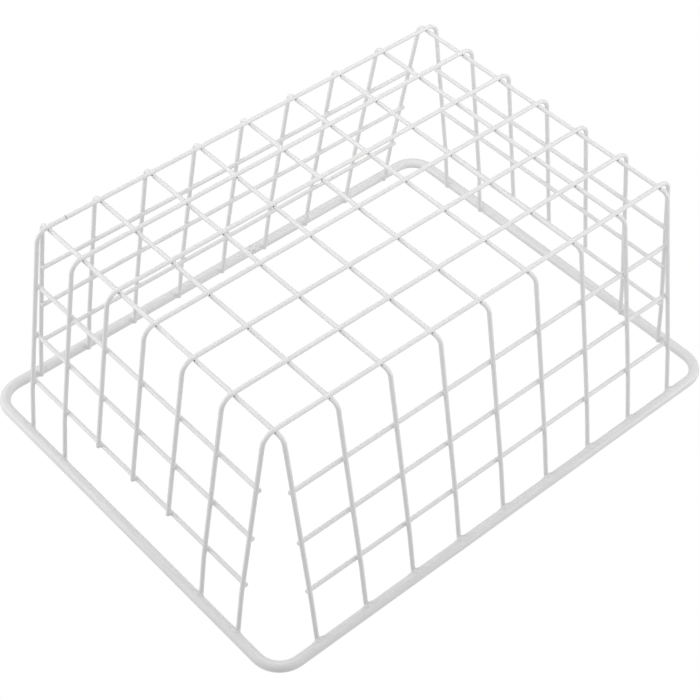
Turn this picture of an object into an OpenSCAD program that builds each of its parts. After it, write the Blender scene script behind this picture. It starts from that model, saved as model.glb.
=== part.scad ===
// Basket of welded, coated wire, standing upside down on its rim. Millimetres, +Z up.
// The origin is on the plane the rim stands on, under the middle of the basket.
// X runs along the basket and Y across it. The flat grid at the top is the basket's floor.
//
// Long wires and cross wires are bent to a U: a flat middle in the grid and a leg at each end.
// Long wires run along X and lie outermost, cross wires run along Y just under them.
// Straight rails run round the walls inside the legs, and the legs end on the inside of the rim.

/* [Mesh wire] */
// Diameter of a mesh wire over its coating
wire_d = 3; // [2.6:0.1:3.4]
// Distance between two cross wires
pitch_x = 40; // [39.8:0.2:41]
// Distance between two long wires
pitch_y = 36.5; // [36.3:0.1:37.5]
// Distance between two rails, measured down the wall
row_pitch = 40; // [36:0.5:41]
// Centreline radius of a long wire's bends, between the grid and its legs
long_bend_r = 9.5; // [8.5:0.5:11]
// Centreline radius of a cross wire's bends
cross_bend_r = 5; // [4.5:0.5:7]
// How far a wire reaches past the middle of the last wire it is welded to
stub = 1.2; // [1:0.2:4]
// How far two crossing mesh wires sink into each other at their weld
weld_sink = 0.7; // [0.2:0.1:1]

/* [Rim] */
// Diameter of the rim wire over its coating
rim_d = 7.4; // [6.8:0.2:8]
// Outer length of the rim
rim_length = 399; // [396:1:401]
// Outer width of the rim
rim_width = 308; // [304:1:309]
// Centreline radius of the rim's corners
rim_corner_r = 18; // [14:1:22]
// How far a leg sinks into the rim at its weld
rim_sink = 1.6; // [0.6:0.2:1.8]

/* [Walls] */
// Overall height
height = 169; // [167:1:172]
// Outward lean of the two short walls, in degrees
short_wall_lean = 8.8; // [8.4:0.2:9.4]
// Outward lean of the two long walls, in degrees
long_wall_lean = 10.9; // [10.7:0.1:11.4]
// Height of the lowest rail's welds
low_row_z = 45.4; // [44:0.2:50]
// Height at which a leg turns steeper, to meet the rim
knee_z = 39; // [36:1:40]

/* [Hidden] */
$fn = 32;

long_n = 7;
cross_n = 9;
row_n = 3;
// The long wires that stop at the lowest rail, which leaves a hand grip over the rim
grip_wires = [3, 4, 5];

// The walls as [lean, half size of the grid, half size of the rim's centreline, grid height,
// radius of the bends, how far past the grid's last crossing a bend starts]
LEAN = 0;
GRID = 1;
RIM = 2;
TOP = 3;
BEND = 4;
GAP = 5;
wire_step = wire_d - weld_sink;
long_z = height - wire_d / 2;
cross_z = long_z - wire_step;
short_wall = [
    short_wall_lean, pitch_x * (cross_n - 1) / 2, (rim_length - rim_d) / 2, long_z,
    long_bend_r, 0.3];
long_wall = [
    long_wall_lean, pitch_y * (long_n - 1) / 2, (rim_width - rim_d) / 2, cross_z,
    cross_bend_r, 3];

// Centreline radius of the slight bend at a leg's knee
knee_r = 40;
// A bend is this much thicker than a straight wire, which reaches this far into it
bend_swell = 0.02;
lap = 0.3;
// Height of a leg's lower end, and the rounding of the coating on a cut end
foot_z = 2;
end_r = 0.8;
rim_z = rim_d / 2;
leg_to_rim = (rim_d + wire_d) / 2 - rim_sink;

function long_y(i) = pitch_y * (i - (long_n + 1) / 2);
function cross_x(i) = pitch_x * (i - (cross_n + 1) / 2);
function row_z(row, lean) = low_row_z + (row - 1) * row_pitch * cos(lean);

// Where a leg's straight upper stretch would meet the grid, and how far out it is at height z
function bend_start(wall) = wall[GRID] + wall[GAP];
function corner_u(wall) = bend_start(wall) + wall[BEND] * tan((90 - wall[LEAN]) / 2);
function leg_u(wall, z) = corner_u(wall) + (wall[TOP] - z) * tan(wall[LEAN]);
function foot_lean(wall) =
    atan((wall[RIM] - leg_to_rim - leg_u(wall, knee_z)) / (knee_z - rim_z));

function names(stem, n) = [for (i = [1:n]) str(stem, i)];

coating = "white";

// A straight wire in the XZ plane from the point p, leaning by the angle a from +Z towards +X
module rod(p, a, length)
    translate([p[0], 0, p[1]]) rotate([0, a, 0]) cylinder(h = length, d = wire_d);

// The same with its far end rounded by the coating
module ended_rod(p, a, length)
    translate([p[0], 0, p[1]]) rotate([0, a, 0]) rotate_extrude() {
        square([wire_d / 2, length - end_r]);
        square([wire_d / 2 - end_r, length]);
        intersection() {
            translate([wire_d / 2 - end_r, length - end_r]) circle(end_r);
            translate([0, length - end_r]) square([wire_d, end_r]);
        }
    }

// A bend in the XZ plane about the centre c, between the angles from and to above +X
module bend(c, r, from, to)
    translate([c[0], 0, c[1]]) rotate([90, 0, 0]) rotate([0, 0, from])
        rotate_extrude(angle = to - from) translate([r, 0]) circle(d = wire_d + bend_swell);

// The point s further down a line that starts at p and leans outward by lean
function down(p, lean, s) = [p[0] + s * sin(lean), p[1] - s * cos(lean)];

// Where the bend at the grid ends and the leg begins
function leg_top(wall) =
    [bend_start(wall), wall[TOP]] + wall[BEND] * [cos(wall[LEAN]), sin(wall[LEAN]) - 1];

// The straight upper stretch of a leg, down to the height z
module upper_leg(wall, z) {
    p = leg_top(wall);
    rod(down(p, wall[LEAN], -lap), 180 - wall[LEAN], (p[1] - z) / cos(wall[LEAN]) + 2 * lap);
}

// A leg that turns steeper at its knee and ends on the rim
module full_leg(wall) {
    lean = wall[LEAN];
    low_lean = foot_lean(wall);
    turn = knee_r * tan((lean - low_lean) / 2);
    knee = [leg_u(wall, knee_z), knee_z];
    arc_top = down(knee, lean, -turn);
    upper_leg(wall, arc_top[1]);
    bend(arc_top - knee_r * [cos(lean), sin(lean)], knee_r, low_lean, lean);
    ended_rod(
        down(knee, low_lean, turn - lap),
        180 - low_lean,
        (knee_z - foot_z) / cos(low_lean) - turn + lap);
}

// A straight leg that ends just under the lowest rail
module short_leg(wall) {
    p = leg_top(wall);
    lean = wall[LEAN];
    ended_rod(down(p, lean, -lap), 180 - lean, (p[1] - low_row_z) / cos(lean) + stub + lap);
}

// The whole U in the XZ plane
module u_wire(wall, grip) {
    start_u = bend_start(wall);
    rod([-start_u - lap, wall[TOP]], 90, 2 * (start_u + lap));
    for (side = [0, 1]) mirror([side, 0, 0]) {
        bend([start_u, wall[TOP] - wall[BEND]], wall[BEND], wall[LEAN], 90);
        if (grip) short_leg(wall);
        else full_leg(wall);
    }
}

// The two straight sides of the rim that the legs of a U in the XZ plane are welded to
module rim_sides(wall, length)
    for (side = [-1, 1])
        translate([side * wall[RIM], -length / 2, rim_z]) rotate([-90, 0, 0])
            cylinder(h = length, d = rim_d);

// One straight side of the rim and the corner at its end
module rim_side(near, far) {
    straight = near - rim_corner_r;
    translate([-straight, -far, 0]) rotate([0, 90, 0]) cylinder(h = 2 * straight, d = rim_d);
    translate([straight, rim_corner_r - far, 0]) rotate([0, 0, -90])
        rotate_extrude(angle = 90) translate([rim_corner_r, 0]) circle(d = rim_d);
}

module rim_wire()
    color(coating) translate([0, 0, rim_z]) for (turn = [0, 180]) rotate([0, 0, turn]) {
        rim_side(short_wall[RIM], long_wall[RIM]);
        rotate([0, 0, 90]) rim_side(long_wall[RIM], short_wall[RIM]);
    }

module long_wire(i)
    color(coating) translate([0, long_y(i), 0]) difference() {
        u_wire(short_wall, len(search(i, grip_wires)) > 0);
        rim_sides(short_wall, pitch_y);
    }

// Each cross wire is saddled where the long wires lie across it
module cross_wire(i)
    color(coating) translate([cross_x(i), 0, 0]) difference() {
        rotate([0, 0, 90]) u_wire(long_wall, false);
        for (j = [1:long_n])
            translate([-pitch_x / 2, long_y(j), long_z]) rotate([0, 90, 0])
                cylinder(h = pitch_x, d = wire_d);
        rotate([0, 0, 90]) rim_sides(long_wall, pitch_x);
    }

// A rail inside the legs of the wall on the +X side, saddled where the n legs lie across it
module rail(wall, row, pitch, n) {
    lean = wall[LEAN];
    z = row_z(row, lean);
    half = pitch * (n - 1) / 2;
    color(coating) difference() {
        translate([leg_u(wall, z) - wire_step * cos(lean), 0, z - wire_step * sin(lean)])
            for (side = [0, 1]) mirror([0, side, 0])
                rotate([0, 0, 90]) ended_rod([0, 0], 90, half + stub);
        for (i = [0:n - 1]) translate([0, pitch * i - half, 0]) upper_leg(wall, knee_z);
    }
}

module front_rail(row) rotate([0, 0, -90]) rail(long_wall, row, pitch_x, cross_n);
module rear_rail(row) rotate([0, 0, 90]) rail(long_wall, row, pitch_x, cross_n);
module left_rail(row) rotate([0, 0, 180]) rail(short_wall, row, pitch_y, long_n);
module right_rail(row) rail(short_wall, row, pitch_y, long_n);

rim_wire();
for (i = [1:long_n]) long_wire(i);
for (i = [1:cross_n]) cross_wire(i);
for (i = [1:row_n]) front_rail(i);
for (i = [1:row_n]) rear_rail(i);
for (i = [1:row_n]) left_rail(i);
for (i = [1:row_n]) right_rail(i);
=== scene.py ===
"""A welded, white coated wire basket, standing upside down on its rim. Metres, +Z up.

Every wire of the CAD model is made again as a smooth swept wire whose coating is a little
uneven, and every crossing gets the fillet of coating that bridges its two wires.
"""

import math

import bpy
import numpy as np
from mathutils import Matrix, Vector, noise


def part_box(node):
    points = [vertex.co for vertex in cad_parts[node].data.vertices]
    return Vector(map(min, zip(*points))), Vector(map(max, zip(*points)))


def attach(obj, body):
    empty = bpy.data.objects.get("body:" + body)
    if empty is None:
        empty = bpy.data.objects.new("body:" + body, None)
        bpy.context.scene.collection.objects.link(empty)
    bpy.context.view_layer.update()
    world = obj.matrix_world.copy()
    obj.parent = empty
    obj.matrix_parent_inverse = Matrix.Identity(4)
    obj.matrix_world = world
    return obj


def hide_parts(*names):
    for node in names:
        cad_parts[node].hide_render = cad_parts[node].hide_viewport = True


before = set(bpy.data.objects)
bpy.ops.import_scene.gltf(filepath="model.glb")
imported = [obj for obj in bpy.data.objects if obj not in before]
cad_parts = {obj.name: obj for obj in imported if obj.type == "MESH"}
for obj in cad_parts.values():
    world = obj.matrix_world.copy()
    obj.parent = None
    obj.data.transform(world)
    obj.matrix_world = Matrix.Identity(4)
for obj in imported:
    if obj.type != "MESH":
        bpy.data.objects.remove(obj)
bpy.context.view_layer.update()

MM = 0.001
ROWS = (1, 2, 3)
LONG_WIRES = range(1, 8)
CROSS_WIRES = range(1, 10)
GRIP_WIRES = (3, 4, 5)

# Shapes that a node's box doesn't give
LONG_BEND_R = 9.5 * MM
CROSS_BEND_R = 5 * MM
KNEE_R = 40 * MM
KNEE_Z = 39 * MM
END_R = 0.8 * MM
RIM_CORNER_R = 18 * MM
RIM_SINK = 1.6 * MM

# How fine the swept wires are
SIDES = 20
RIM_SIDES = 48
RING_STEP = 4 * MM
TURN_STEP = math.radians(6)

# The coating is thinner in places, by up to this share of the wire's radius, over this length
COAT_SPREAD = 0.016
COAT_LENGTH = 11 * MM
# What a length along the wire counts for, next to one round it: small, so streaks run along it
STRETCH = 0.015
# A cut end carries a bead of coating, this much thicker and this long, rounded in this many steps
BEAD = 0.03
BEAD_LENGTH = 1.1 * MM
END_STEPS = 4

# The fillet of coating at a weld: its size between mesh wires and on the rim, how far it starts
# under the wires' surfaces, and how far it goes along mesh wires
FILLET = 0.8 * MM
RIM_FILLET = 1.5 * MM
FILLET_DEPTH = 0.025 * MM
FILLET_REACH = 2.4 * MM
# How often the search for a fillet's surface halves its step
BISECTIONS = 30
# The dimple in each corner between two crossing wires, painted dark as shade in that crevice:
# its depth, as a share of the distance to the weld's middle, and its width as seen from there
PIT_DEPTH = 0.07
PIT_AND_SHADE_WIDTH = math.radians(23)
# The weld that closes the rim's loop, beside a leg of the rear wall, and its rough coating
BUTT_WELD_X = 31 * MM
BUTT_WELD_HALF = 5 * MM
BUTT_WELD_STEP = 0.4 * MM
BUTT_WELD_GRAIN = 0.9 * MM
# The fine crack across the coating of the rearmost long wire, near its left end: where it is,
# and half its width
NICK_X = -147.3 * MM
NICK_HALF = 0.3 * MM
# How deep a swept wire's pits are, as a share of its radius
SWEPT_PIT_DEPTH = 0.05
# The level of the rough coating's noise at which a pinhole starts, and how sharp its edge is
PIN_THRESHOLD = 0.38
PIN_EDGE = 6

# How strong the light from all round is, above and below the horizon, and how wide the change
ABOVE = 0.56
BELOW = 0.73
HORIZON_HALF = 0.5
# Softboxes as (name, place, size, power), in metres and watts, which face the basket's middle
MIDDLE = (0, 0, 0.08)
SOFTBOXES = (
    ("overhead", (0.15, 0.20, 1.4), 1.2, 6),
    ("left_softbox", (-0.85, 0.80, 0.40), 0.8, 5),
    ("right_softbox", (0.85, -0.80, 0.40), 0.8, 4),
)
# A soft spot from above the camera, which lights the far walls more than the near ones
SPOT_PLACE = (-0.90, -0.90, 1.20)
SPOT_AIM = (0.28, 0.28, 0.10)
SPOT_ANGLE = 26
SPOT_RADIUS = 0.15
SPOT_POWER = 20
# Half the side of the floor, in metres
FLOOR_HALF = 8.0


# ---- sizes from the frame ----

def centre(node):
    lo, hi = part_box(node)
    return (lo + hi) / 2


WIRE_R = (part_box("front_rail_1")[1].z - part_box("front_rail_1")[0].z) / 2
RIM_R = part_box("rim_wire")[1].z / 2
RIM_HALF = (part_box("rim_wire")[1].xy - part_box("rim_wire")[0].xy) / 2 - Vector((RIM_R, RIM_R))
LONG_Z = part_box("long_wire_1")[1].z - WIRE_R
CROSS_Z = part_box("cross_wire_1")[1].z - WIRE_R
WIRE_STEP = LONG_Z - CROSS_Z
FOOT_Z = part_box("long_wire_1")[0].z
GRIP_END_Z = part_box("long_wire_3")[0].z
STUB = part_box("right_rail_1")[1].y - centre("long_wire_7").y


class Wall:
    """The profile of two opposite walls: u is how far out a point is, and z its height."""

    def __init__(self, axis, rails, grid_z, bend_r):
        self.axis = axis
        self.bend_r = bend_r
        self.rails = [Vector((centre(n)[axis], centre(n).z)) for n in rails]
        self.down = (self.rails[0] - self.rails[2]).normalized()
        self.out = Vector((-self.down.y, self.down.x))
        self.welds = [r + self.out * WIRE_STEP for r in self.rails]
        self.top = grid_z
        self.foot = Vector((RIM_HALF[axis] - RIM_R - WIRE_R + RIM_SINK, RIM_R))

    def at(self, z):
        """The point of a leg's straight upper stretch, or its extension, at the height z."""
        start = self.welds[0]
        return start + self.down * ((z - start.y) / self.down.y)


SHORT_WALL = Wall(0, [f"right_rail_{i}" for i in ROWS], LONG_Z, LONG_BEND_R)
LONG_WALL = Wall(1, [f"rear_rail_{i}" for i in ROWS], CROSS_Z, CROSS_BEND_R)


# ---- swept wires ----

def arc(middle, radius, start, end):
    """Points (u, z) on an arc, between two angles above +u, the ends left out."""
    steps = max(2, math.ceil(abs(end - start) / TURN_STEP))
    angles = [start + (end - start) * i / steps for i in range(1, steps)]
    return [middle + radius * Vector((math.cos(a), math.sin(a))) for a in angles]


def turn(before, corner, after, radius):
    """The rounded corner of a path that comes from before and goes on to after."""
    a = (before - corner).normalized()
    b = (after - corner).normalized()
    half = a.angle(b) / 2
    back = radius / math.tan(half)
    middle = corner + (a + b).normalized() * (radius / math.sin(half))
    start = corner + a * back
    end = corner + b * back
    from_angle = math.atan2(*(start - middle).yx)
    sweep = math.remainder(math.atan2(*(end - middle).yx) - from_angle, math.tau)
    return [start, *arc(middle, radius, from_angle, from_angle + sweep), end]


def half_u(wall, grip):
    """Half of a U wire as points (u, z), from its middle to its end."""
    middle = Vector((0, wall.top))
    corner = wall.at(wall.top)
    if grip:
        end = wall.at(GRIP_END_Z)
        return [middle, *turn(middle, corner, end, wall.bend_r), end]
    knee = wall.at(KNEE_Z)
    end = knee + (wall.foot - knee) * ((FOOT_Z - knee.y) / (wall.foot.y - knee.y))
    top = turn(middle, corner, knee, wall.bend_r)
    return [middle, *top, *turn(corner, knee, end, KNEE_R), end]


def u_wire(wall, across, grip=False):
    """The whole U as points in space, at the place across the plane of the U."""
    right = half_u(wall, grip)
    profile = [Vector((-p.x, p.y)) for p in reversed(right)] + right[1:]
    if wall.axis == 0:
        return [Vector((p.x, across, p.y)) for p in profile]
    return [Vector((across, p.x, p.y)) for p in profile]


def closer(points):
    """The same path with rings no further apart than RING_STEP."""
    out = [points[0]]
    for a, b in zip(points, points[1:]):
        steps = max(1, math.ceil((b - a).length / RING_STEP))
        out += [a.lerp(b, i / steps) for i in range(1, steps + 1)]
    return out


def coated(p, seed):
    """The coated radius at the point p, as a share of the CAD radius."""
    wander = noise.noise(p / COAT_LENGTH + Vector((seed, 0, 0)))
    return 1 - COAT_SPREAD * (0.5 - 0.5 * wander)


def end_rings(path):
    """Rings (place, share of the radius) for the rounded, beaded end of a path."""
    end = path[-1]
    inward = (path[-2] - end).normalized()
    rings = [(end + inward * BEAD_LENGTH * 2, 1.0), (end + inward * BEAD_LENGTH, 1 + BEAD)]
    for i in range(END_STEPS + 1):
        a = math.radians(90 * i / END_STEPS)
        place = end + inward * END_R * (1 - math.sin(a))
        rings.append((place, 1 + BEAD * math.cos(a) - END_R / WIRE_R * (1 - math.cos(a))))
    return rings


def rings_along(path, closed):
    """Rings (place, share of the radius) along a path that is closed or has beaded ends."""
    path = closer(path)
    if closed:
        return [(p, 1.0) for p in path[:-1]]
    # The ends bring their own rings, so the path's own points stay clear of them
    spare = BEAD_LENGTH * 2.5
    middle = [p for p in path if min((p - path[0]).length, (p - path[-1]).length) > spare]
    return end_rings(path[::-1])[::-1] + [(p, 1.0) for p in middle] + end_rings(path)


def faces_between(count, sides, closed):
    """The outward faces of a tube with that many rings."""
    faces = []
    for i in range(count if closed else count - 1):
        here, ahead = i * sides, (i + 1) % count * sides
        for j in range(sides):
            k = (j + 1) % sides
            faces.append((here + j, here + k, ahead + k, ahead + j))
    if not closed:
        faces.append(tuple(reversed(range(sides))))
        faces.append(tuple(range((count - 1) * sides, count * sides)))
    return faces


def tube(name, path, normal, radius, sides, closed=False, seed=0.0, pit_depth=None):
    """A closed mesh along a flat path whose plane has that normal.

    Its attribute wrap is a place round the wire, which changes slowly along the wire. With
    pit_depth, a function of a place, the attribute pit says how deep in a pinhole a vertex is.
    """
    rings = rings_along(path, closed)
    verts, wrap, pits_and_shade = [], [], []
    count = len(rings)
    for i, (p, share) in enumerate(rings):
        before = rings[i - 1][0] if closed or i else p
        after = rings[(i + 1) % count][0] if closed or i < count - 1 else p
        side = (after - before).normalized().cross(normal)
        for j in range(sides):
            a = math.tau * j / sides
            direction = normal * math.cos(a) + side * math.sin(a)
            surface = p + direction * radius * share
            pits_and_shade.append(pit_depth(surface) if pit_depth else 0)
            shrink = coated(surface, seed) - SWEPT_PIT_DEPTH * pits_and_shade[-1]
            verts.append(p + direction * radius * share * shrink)
            wrap.append((radius * math.cos(a), radius * math.sin(a), STRETCH * sum(p)))
    piece = solid(name, verts, faces_between(count, sides, closed))
    piece.data.attributes.new("wrap", "FLOAT_VECTOR", "POINT").data.foreach_set(
        "vector", np.array(wrap, dtype=np.float32).ravel())
    if pit_depth:
        mark_pits_and_shade(piece, pits_and_shade)
    return piece


def mark_pits_and_shade(piece, pits_and_shade):
    """Store how deep in a pit each vertex is; on the fillets this also sets painted shade in the
    crevices.
    """
    piece.data.attributes.new("pit_and_shade", "FLOAT", "POINT").data.foreach_set(
        "value", np.array(pits_and_shade, dtype=np.float32))


def solid(name, verts, faces):
    """A smooth object with that mesh."""
    mesh = bpy.data.meshes.new(name)
    mesh.from_pydata([tuple(v) for v in verts], [], faces)
    mesh.validate()
    mesh.update()
    mesh.shade_smooth()
    piece = bpy.data.objects.new(name, mesh)
    bpy.context.scene.collection.objects.link(piece)
    return piece


# ---- fillets of coating at the welds ----

def bar(points, axis, offset, radius):
    """Distance to a round bar along the local axis 0 or 1, its centre offset along local z."""
    return np.hypot(points[:, 1 - axis], points[:, 2] - offset) - radius


def ended_bar(points, axis, offset, radius, end):
    """The same for a bar that comes from the axis's low side and ends, rounded, at end."""
    radial = np.hypot(points[:, 1 - axis], points[:, 2] - offset) - (radius - END_R)
    along = points[:, axis] - (end - END_R)
    outside = np.hypot(np.maximum(radial, 0), np.maximum(along, 0))
    return outside + np.minimum(np.maximum(radial, along), 0) - END_R


def blended(a, b, reach):
    """The distance to two shapes joined by a fillet."""
    h = np.maximum(reach - np.abs(a - b), 0) / reach
    return np.minimum(a, b) - h * h * reach / 4


def fillet(distance, cap, turns=40, rows=13, steepest=62):
    """A closed mesh of the surface distance = 0 round the origin, as (vertices, faces).

    The surface is nowhere further out than cap. The vertices are at the two poles and in rows
    of turns, up to steepest degrees above and below the level of the origin.
    """
    directions = [(0.0, 0.0, 1.0)]
    for row in range(rows):
        up = math.radians(steepest * (1 - 2 * row / (rows - 1)))
        for t in range(turns):
            a = math.tau * (t + 0.5) / turns
            level = math.cos(up)
            directions.append((level * math.cos(a), level * math.sin(a), math.sin(up)))
    directions = np.array(directions + [(0.0, 0.0, -1.0)])
    near = np.zeros(len(directions))
    far = np.full(len(directions), cap)
    for _ in range(BISECTIONS):
        middle = (near + far) / 2
        inside = distance(directions * middle[:, None]) < 0
        near = np.where(inside, middle, near)
        far = np.where(inside, far, middle)
    verts = directions * near[:, None]
    return verts, ball_faces(turns, rows)


def ball_faces(turns, rows):
    """The faces between a top vertex, rows of turns vertices each, and a bottom vertex."""
    faces = []
    bottom = 1 + (rows - 1) * turns
    last = bottom + turns
    for t in range(turns):
        n = (t + 1) % turns
        faces.append((0, 1 + t, 1 + n))
        faces.append((last, bottom + n, bottom + t))
        for row in range(rows - 1):
            a = 1 + row * turns
            faces.append((a + t, a + turns + t, a + turns + n, a + n))
    return faces


def corner_dimples_and_shade(points, ended_axis):
    """How deep in a dimple each point is, which also sets its painted shade: one lies in each
    corner that two wires make.
    """
    round_axis = np.arctan2(points[:, 1], points[:, 0])
    off_corner = np.abs(np.mod(round_axis, math.pi / 2) - math.pi / 4)
    up = np.arctan2(points[:, 2], np.hypot(points[:, 0], points[:, 1]))
    share = np.clip(1 - np.hypot(off_corner, up) / PIT_AND_SHADE_WIDTH, 0, 1)
    depths = share * share * (3 - 2 * share)
    return depths if ended_axis is None else np.where(points[:, ended_axis] > 0, 0, depths)


def wire_fillet(ended_axis=None):
    """Between two mesh wires: the outer one along local x, the inner one along local y.

    The wire along ended_axis ends STUB past their crossing. Gives the vertices, the faces and
    how deep in a dimple each vertex is, which also sets its painted shade.
    """
    r = WIRE_R - FILLET_DEPTH
    offsets = (WIRE_STEP / 2, -WIRE_STEP / 2)

    def wire(points, axis):
        if axis == ended_axis:
            return ended_bar(points, axis, offsets[axis], r, STUB - FILLET_DEPTH)
        return bar(points, axis, offsets[axis], r)

    def distance(points):
        joined = blended(wire(points, 0), wire(points, 1), FILLET)
        return np.maximum(joined, np.abs(points[:, :2]).max(axis=1) - FILLET_REACH)

    verts, faces = fillet(distance, 2 * WIRE_R + FILLET)
    pits_and_shade = corner_dimples_and_shade(verts, ended_axis)
    return verts * (1 - PIT_DEPTH * pits_and_shade)[:, None], faces, pits_and_shade


def rim_fillet(foot_drop):
    """Between the rim along local y and a leg along local x that ends foot_drop under it."""
    depth = WIRE_R - RIM_SINK / 2
    rim_offset = RIM_R - RIM_SINK / 2
    verts, faces = fillet(
        lambda p: blended(
            bar(p, 1, rim_offset, RIM_R - FILLET_DEPTH),
            ended_bar(p, 0, -depth, WIRE_R - FILLET_DEPTH, foot_drop),
            RIM_FILLET),
        2.4 * WIRE_R + RIM_FILLET,
        rows=11, steepest=75)
    return verts, faces, np.zeros(len(verts))


def make_welds(name, groups, material, slot, crevice_shade=1.0):
    """One piece of fillets: each group has a shape and its (origin, local x, y, z) places.

    The last argument says how dark the painted shade in the fillets' crevices is.
    """
    verts, faces, pits_and_shade = [], [], []
    for (shape_verts, shape_faces, shape_pits_and_shade), places in groups:
        for origin, x, y, z in places:
            base = len(verts)
            turned = shape_verts @ np.array([x[:], y[:], z[:]]) + np.array(origin[:])
            verts += [tuple(v) for v in turned]
            faces += [tuple(base + i for i in f) for f in shape_faces]
            # The fillets' pit values also set their painted crevice shade, scaled for each piece
            pits_and_shade += list(shape_pits_and_shade * crevice_shade)
    piece = solid(name, verts, faces)
    mark_pits_and_shade(piece, pits_and_shade)
    keep(piece, material, slot)


def in_space(wall, side, uv, across):
    """The wall's profile vector (u, z) in space, on one side of the basket."""
    if wall.axis == 0:
        return Vector((side * uv.x, across, uv.y))
    return Vector((across, side * uv.x, uv.y))


def wall_frame(wall, side, origin, down, out):
    """A weld's origin and local axes: x down the leg, y along the wall, z outwards."""
    x = in_space(wall, side, down, 0).normalized()
    z = in_space(wall, side, out, 0).normalized()
    return origin, x, z.cross(x), z


# ---- the coating's material ----

# The coating's colours: plain, in a patch, tinted, in a line along the wire, and in a speck, and
# what a pit shows, which also serves as painted shade in the crevices between crossing wires
WHITE = (0.80, 0.80, 0.80)
PATCH = (0.76, 0.76, 0.76)
WARM_TINT = (0.79, 0.787, 0.78)
LINE = (0.672, 0.672, 0.672)
SPECK = (0.50, 0.48, 0.45)
DARK_PIT_AND_SHADE = (0.045, 0.042, 0.04)
ROUGHNESS = (0.34, 0.48)
COATING_IOR = 1.46
# How fine the coating's features are, as noise scales per metre
TINTS = 28
PATCHES = 95
GLOSS = 260
PEEL = 330
LINES = 1100
SPECKS = 1500
# How far the surface rises and falls in orange peel and lines, and in fine grain
PEEL_HEIGHT = 0.04 * MM
GRAIN_HEIGHT = 0.008 * MM
# Where a feature starts and is full: on a noise's usual values, on the few that make a speck,
# and on the attribute of pits and painted crevice shade
USUAL = (0.3, 0.7)
RARE = (0.74, 0.80)
IN_PIT_AND_SHADE = (0.1, 0.6)


class Shading:
    """Short ways to make one material's nodes."""

    def __init__(self, name):
        self.material = bpy.data.materials.new(name)
        self.material.use_nodes = True
        tree = self.material.node_tree
        self.nodes, self.links = tree.nodes, tree.links
        self.shader = self.nodes["Principled BSDF"]
        self.place = self.nodes.new("ShaderNodeTexCoord").outputs["Object"]

    def attribute(self, name, output):
        n = self.nodes.new("ShaderNodeAttribute")
        n.attribute_name = name
        return n.outputs[output]

    def grain(self, scale, detail, where=None):
        n = self.nodes.new("ShaderNodeTexNoise")
        n.inputs["Scale"].default_value = scale
        n.inputs["Detail"].default_value = detail
        self.links.new(where or self.place, n.inputs["Vector"])
        return n.outputs["Fac"]

    def ranged(self, value, low, high, between=USUAL):
        """From low to high while the value goes from one end of between to the other."""
        n = self.nodes.new("ShaderNodeMapRange")
        n.inputs["From Min"].default_value, n.inputs["From Max"].default_value = between
        n.inputs["To Min"].default_value = low
        n.inputs["To Max"].default_value = high
        self.links.new(value, n.inputs["Value"])
        return n.outputs["Result"]

    def mixed(self, below, above, factor):
        """The colour below, a tuple or a socket, covered by the colour above."""
        n = self.nodes.new("ShaderNodeMix")
        n.data_type = "RGBA"
        self.links.new(factor, n.inputs["Factor"])
        if isinstance(below, tuple):
            n.inputs["A"].default_value = (*below, 1)
        else:
            self.links.new(below, n.inputs["A"])
        n.inputs["B"].default_value = (*above, 1)
        return n.outputs["Result"]

    def bumped(self, height, distance, strength, below=None):
        n = self.nodes.new("ShaderNodeBump")
        n.inputs["Distance"].default_value = distance
        n.inputs["Strength"].default_value = strength
        self.links.new(height, n.inputs["Height"])
        if below:
            self.links.new(below, n.inputs["Normal"])
        return n.outputs["Normal"]


def coating(name, streaks=0.0):
    """Semi-gloss white plastic coating: orange peel, faint ripples, slight patchiness.

    With streaks, its tone and surface also vary in lines along the wire, by the attribute wrap.
    By the pit attribute, it is dark in pits and pinholes, and painted dark as shade in the
    crevices between crossing wires.
    """
    s = Shading(name)
    tone = s.mixed(WHITE, PATCH, s.ranged(s.grain(PATCHES, 3), 0, 1))
    tone = s.mixed(tone, WARM_TINT, s.ranged(s.grain(TINTS, 2), 0, 0.5))
    normal = s.bumped(s.grain(PEEL, 2), PEEL_HEIGHT, 0.3)
    if streaks:
        lines = s.grain(LINES, 3, s.attribute("wrap", "Vector"))
        tone = s.mixed(tone, LINE, s.ranged(lines, 0, streaks))
        normal = s.bumped(lines, PEEL_HEIGHT, 0.4 * streaks, normal)
    tone = s.mixed(tone, SPECK, s.ranged(s.grain(SPECKS, 1), 0, 0.35, RARE))
    # Dark in pits and pinholes, and painted shade in the crevices between crossing wires
    tone = s.mixed(tone, DARK_PIT_AND_SHADE, s.ranged(s.attribute("pit_and_shade", "Fac"), 0, 1, IN_PIT_AND_SHADE))
    normal = s.bumped(s.grain(SPECKS, 2), GRAIN_HEIGHT, 0.3, normal)
    s.links.new(tone, s.shader.inputs["Base Color"])
    s.links.new(normal, s.shader.inputs["Normal"])
    s.links.new(s.ranged(s.grain(GLOSS, 3), *ROUGHNESS), s.shader.inputs["Roughness"])
    s.shader.inputs["IOR"].default_value = COATING_IOR
    return s.material


MESH_COATING = coating("mesh_coating", streaks=0.35)
WELD_COATING = coating("weld_coating")
RIM_COATING = coating("rim_coating", streaks=0.8)


def keep(piece, material, slot, *nodes):
    """The piece rides on the basket, takes the material and stands for its CAD nodes."""
    piece.data.materials.append(material)
    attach(piece, "root")
    if nodes:
        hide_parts(*nodes)


# ---- the wires ----

def butt_weld_pits(p):
    """How deep in a pinhole p is, over the weld that closes the rim's loop."""
    off_weld = abs(p.x - BUTT_WELD_X) / BUTT_WELD_HALF
    if p.y < 0 or p.z < RIM_R or off_weld > 1:
        return 0
    grain = noise.noise(p / BUTT_WELD_GRAIN)
    return min(max((grain - PIN_THRESHOLD) * PIN_EDGE * (1 - off_weld * off_weld), 0), 1)


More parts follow.
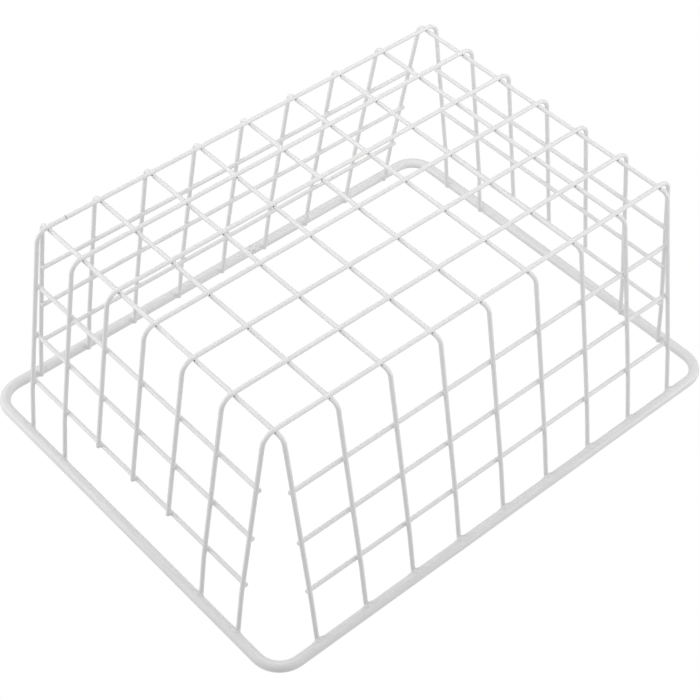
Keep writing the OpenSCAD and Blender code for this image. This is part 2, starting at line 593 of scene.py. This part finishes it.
def make_rim():
    """The rim's loop, with close rings where the weld that closes it is."""
    straight = RIM_HALF - Vector((RIM_CORNER_R, RIM_CORNER_R))
    path = []
    for quarter, (sx, sy) in enumerate(((1, 1), (-1, 1), (-1, -1), (1, -1))):
        middle = Vector((sx * straight.x, sy * straight.y))
        start = math.radians(90 * quarter)
        end = start + math.radians(90)
        first = middle + RIM_CORNER_R * Vector((math.cos(start), math.sin(start)))
        last = middle + RIM_CORNER_R * Vector((math.cos(end), math.sin(end)))
        path += [first, *arc(middle, RIM_CORNER_R, start, end), last]
        if quarter == 0:
            steps = round(2 * BUTT_WELD_HALF / BUTT_WELD_STEP)
            start_x = BUTT_WELD_X + BUTT_WELD_HALF
            path += [Vector((start_x - i * BUTT_WELD_STEP, last.y)) for i in range(steps + 1)]
    path = [Vector((p.x, p.y, RIM_R)) for p in path + path[:1]]
    rim = tube(
        "coated_rim_wire", path, Vector((0, 0, 1)), RIM_R, RIM_SIDES, closed=True,
        pit_depth=butt_weld_pits)
    keep(rim, RIM_COATING, "rim_coating", "rim_wire")


def nick_depth(p):
    """How deep in the nick p is."""
    return max(0, 1 - abs(p.x - NICK_X) / NICK_HALF)


def nicked(path):
    """A long wire's path, which runs along +X all the way, with close rings at the nick."""
    steps = range(-3, 4)
    fine = [Vector((NICK_X + i * NICK_HALF / 3, path[0].y, LONG_Z)) for i in steps]
    return sorted(path + fine, key=lambda p: p.x)


def make_u_wires():
    """The long wires, then the cross wires."""
    for i in LONG_WIRES:
        node = f"long_wire_{i}"
        path = u_wire(SHORT_WALL, centre(node).y, i in GRIP_WIRES)
        depth = None
        if i == LONG_WIRES[-1]:
            path, depth = nicked(path), nick_depth
        wire = tube(
            f"coated_{node}", path, Vector((0, 1, 0)), WIRE_R, SIDES, seed=i, pit_depth=depth)
        keep(wire, MESH_COATING, "mesh_coating", node)
    for i in CROSS_WIRES:
        node = f"cross_wire_{i}"
        path = u_wire(LONG_WALL, centre(node).x)
        wire = tube(f"coated_{node}", path, Vector((1, 0, 0)), WIRE_R, SIDES, seed=20 + i)
        keep(wire, MESH_COATING, "mesh_coating", node)


def make_rails():
    for name, axis in (("front", 0), ("rear", 0), ("left", 1), ("right", 1)):
        for row in ROWS:
            node = f"{name}_rail_{row}"
            lo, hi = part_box(node)
            middle = (lo + hi) / 2
            start, end = middle.copy(), middle.copy()
            start[axis], end[axis] = lo[axis], hi[axis]
            rail = tube(
                f"coated_{node}", [start, end], Vector((0, 0, 1)), WIRE_R, SIDES,
                seed=40 + 10 * row + len(name))
            keep(rail, MESH_COATING, "mesh_coating", node)


# ---- the welds ----

def make_mesh_welds():
    """The fillets at the crossings, as a piece for the grid and one for each wall."""
    crossing = wire_fillet()
    rail_end = wire_fillet(ended_axis=1)
    leg_end = wire_fillet(ended_axis=0)
    rows = [centre(f"long_wire_{i}").y for i in LONG_WIRES]
    columns = [centre(f"cross_wire_{i}").x for i in CROSS_WIRES]
    grips = [centre(f"long_wire_{i}").y for i in GRIP_WIRES]
    x, y, z = Matrix.Identity(3)
    grid = [(Vector((u, v, (LONG_Z + CROSS_Z) / 2)), x, y, z) for u in columns for v in rows]
    # The grid's fillets take the full, darkest painted shade in their crevices
    make_welds("floor_grid_welds", [(crossing, grid)], WELD_COATING, "mesh_coating")
    # Each wall, its side, the places of its legs, and how dark the painted shade in its crevices
    # is
    for name, wall, side, legs, crevice_shade in (
        ("front", LONG_WALL, -1, columns, 0.4),
        ("rear", LONG_WALL, 1, columns, 0.4),
        ("left", SHORT_WALL, -1, rows, 0.2),
        ("right", SHORT_WALL, 1, rows, 0.2),
    ):
        middles, rail_ends, leg_ends = [], [], []
        for across in legs:
            for row, rail in zip(ROWS, wall.rails):
                origin = in_space(wall, side, rail + wall.out * WIRE_STEP / 2, across)
                place = wall_frame(wall, side, origin, wall.down, wall.out)
                if across in (legs[0], legs[-1]):
                    rail_ends.append(end_outwards(place))
                elif wall is SHORT_WALL and across in grips and row == ROWS[0]:
                    leg_ends.append(place)
                else:
                    middles.append(place)
        groups = [(crossing, middles), (rail_end, rail_ends), (leg_end, leg_ends)]
        make_welds(f"{name}_wall_welds", groups, WELD_COATING, "mesh_coating", crevice_shade)


def end_outwards(place):
    """A weld's place turned so that its local y points to the nearer end of the wall."""
    origin, x, y, z = place
    return place if origin.dot(y) > 0 else (origin, -x, -y, z)


def make_rim_welds():
    """The fillets at the feet of the legs, as one piece."""
    full_rows = [centre(f"long_wire_{i}").y for i in LONG_WIRES if i not in GRIP_WIRES]
    columns = [centre(f"cross_wire_{i}").x for i in CROSS_WIRES]
    groups = []
    for wall, legs in ((SHORT_WALL, full_rows), (LONG_WALL, columns)):
        down = (wall.foot - wall.at(KNEE_Z)).normalized()
        out = Vector((-down.y, down.x))
        middle = wall.foot + out * (WIRE_R - RIM_SINK / 2)
        places = [
            wall_frame(wall, side, in_space(wall, side, middle, across), down, out)
            for side in (-1, 1) for across in legs
        ]
        groups.append((rim_fillet((wall.foot.y - FOOT_Z) / -down.y), places))
    make_welds("rim_welds", groups, RIM_COATING, "rim_coating")


make_rim()
make_u_wires()
make_rails()
make_mesh_welds()
make_rim_welds()


# ---- floor, light and camera ----

def make_floor():
    """A pale floor lit so brightly that no shadow shows on it, which lights nothing itself."""
    mat = bpy.data.materials.new("pale_floor")
    mat.use_nodes = True
    shader = mat.node_tree.nodes["Principled BSDF"]
    shader.inputs["Base Color"].default_value = (0, 0, 0, 1)
    shader.inputs["Specular IOR Level"].default_value = 0
    shader.inputs["Emission Color"].default_value = (1, 1, 1, 1)
    shader.inputs["Emission Strength"].default_value = 1.0
    signs = ((-1, -1), (1, -1), (1, 1), (-1, 1))
    corners = [(x * FLOOR_HALF, y * FLOOR_HALF, 0) for x, y in signs]
    mesh = bpy.data.meshes.new("pale_floor")
    mesh.from_pydata(corners, [], [(0, 1, 2, 3)])
    mesh.materials.append(mat)
    floor = bpy.data.objects.new("pale_floor", mesh)
    floor.visible_diffuse = False
    floor.visible_glossy = False
    floor.visible_shadow = False
    bpy.context.scene.collection.objects.link(floor)


def lamp(name, kind, place, aim, power):
    """A lamp at place that points at aim; gives its light data."""
    light = bpy.data.lights.new(name, kind)
    light.energy = power
    holder = bpy.data.objects.new(name, light)
    holder.location = place
    holder.rotation_euler = (Vector(aim) - Vector(place)).to_track_quat("-Z", "Y").to_euler()
    bpy.context.scene.collection.objects.link(holder)
    return light


def make_world():
    """Even light from all round, whose strength changes near the horizon."""
    world = bpy.data.worlds.new("studio")
    world.use_nodes = True
    nodes, links = world.node_tree.nodes, world.node_tree.links
    split = nodes.new("ShaderNodeSeparateXYZ")
    links.new(nodes.new("ShaderNodeTexCoord").outputs["Generated"], split.inputs["Vector"])
    height = nodes.new("ShaderNodeMapRange")
    height.interpolation_type = "SMOOTHSTEP"
    height.inputs["From Min"].default_value = -HORIZON_HALF
    height.inputs["From Max"].default_value = HORIZON_HALF
    height.inputs["To Min"].default_value = BELOW
    height.inputs["To Max"].default_value = ABOVE
    links.new(split.outputs["Z"], height.inputs["Value"])
    links.new(height.outputs["Result"], nodes["Background"].inputs["Strength"])
    nodes["Background"].inputs["Color"].default_value = (1, 1, 1, 1)
    bpy.context.scene.world = world


def make_lamps():
    """A softbox overhead and one on each side, and a soft spot."""
    for name, place, size, power in SOFTBOXES:
        light = lamp(name, "AREA", place, MIDDLE, power)
        light.shape = "DISK"
        light.size = size
    spot = lamp("far_side_spot", "SPOT", SPOT_PLACE, SPOT_AIM, SPOT_POWER)
    spot.spot_size = math.radians(SPOT_ANGLE)
    spot.spot_blend = 1
    spot.shadow_soft_size = SPOT_RADIUS


def make_camera():
    """The camera of the photograph, round a target near the middle of the basket."""
    azimuth = math.radians(-43.336)
    elevation = math.radians(46.056)
    roll = math.radians(2.128)
    distance = 1.17839
    target = Vector((-0.02176, -0.03744, 0.08435))
    back = Vector((
        math.sin(azimuth) * math.cos(elevation),
        -math.cos(azimuth) * math.cos(elevation),
        math.sin(elevation)))
    right = Vector((0, 0, 1)).cross(back).normalized()
    up = back.cross(right)
    turned_right = right * math.cos(roll) + up * math.sin(roll)
    turned_up = up * math.cos(roll) - right * math.sin(roll)
    data = bpy.data.cameras.new("camera")
    data.sensor_width = 36
    data.lens = 93.77
    data.shift_x = -0.0288
    data.shift_y = -0.0058
    data.clip_start = 0.05
    data.clip_end = 50
    camera = bpy.data.objects.new("camera", data)
    axes = Matrix((turned_right, turned_up, back)).transposed().to_4x4()
    camera.matrix_world = Matrix.Translation(target + back * distance) @ axes
    bpy.context.scene.collection.objects.link(camera)
    bpy.context.scene.camera = camera


make_floor()
make_world()
make_lamps()
make_camera()
bpy.context.scene.view_settings.view_transform = "Standard"
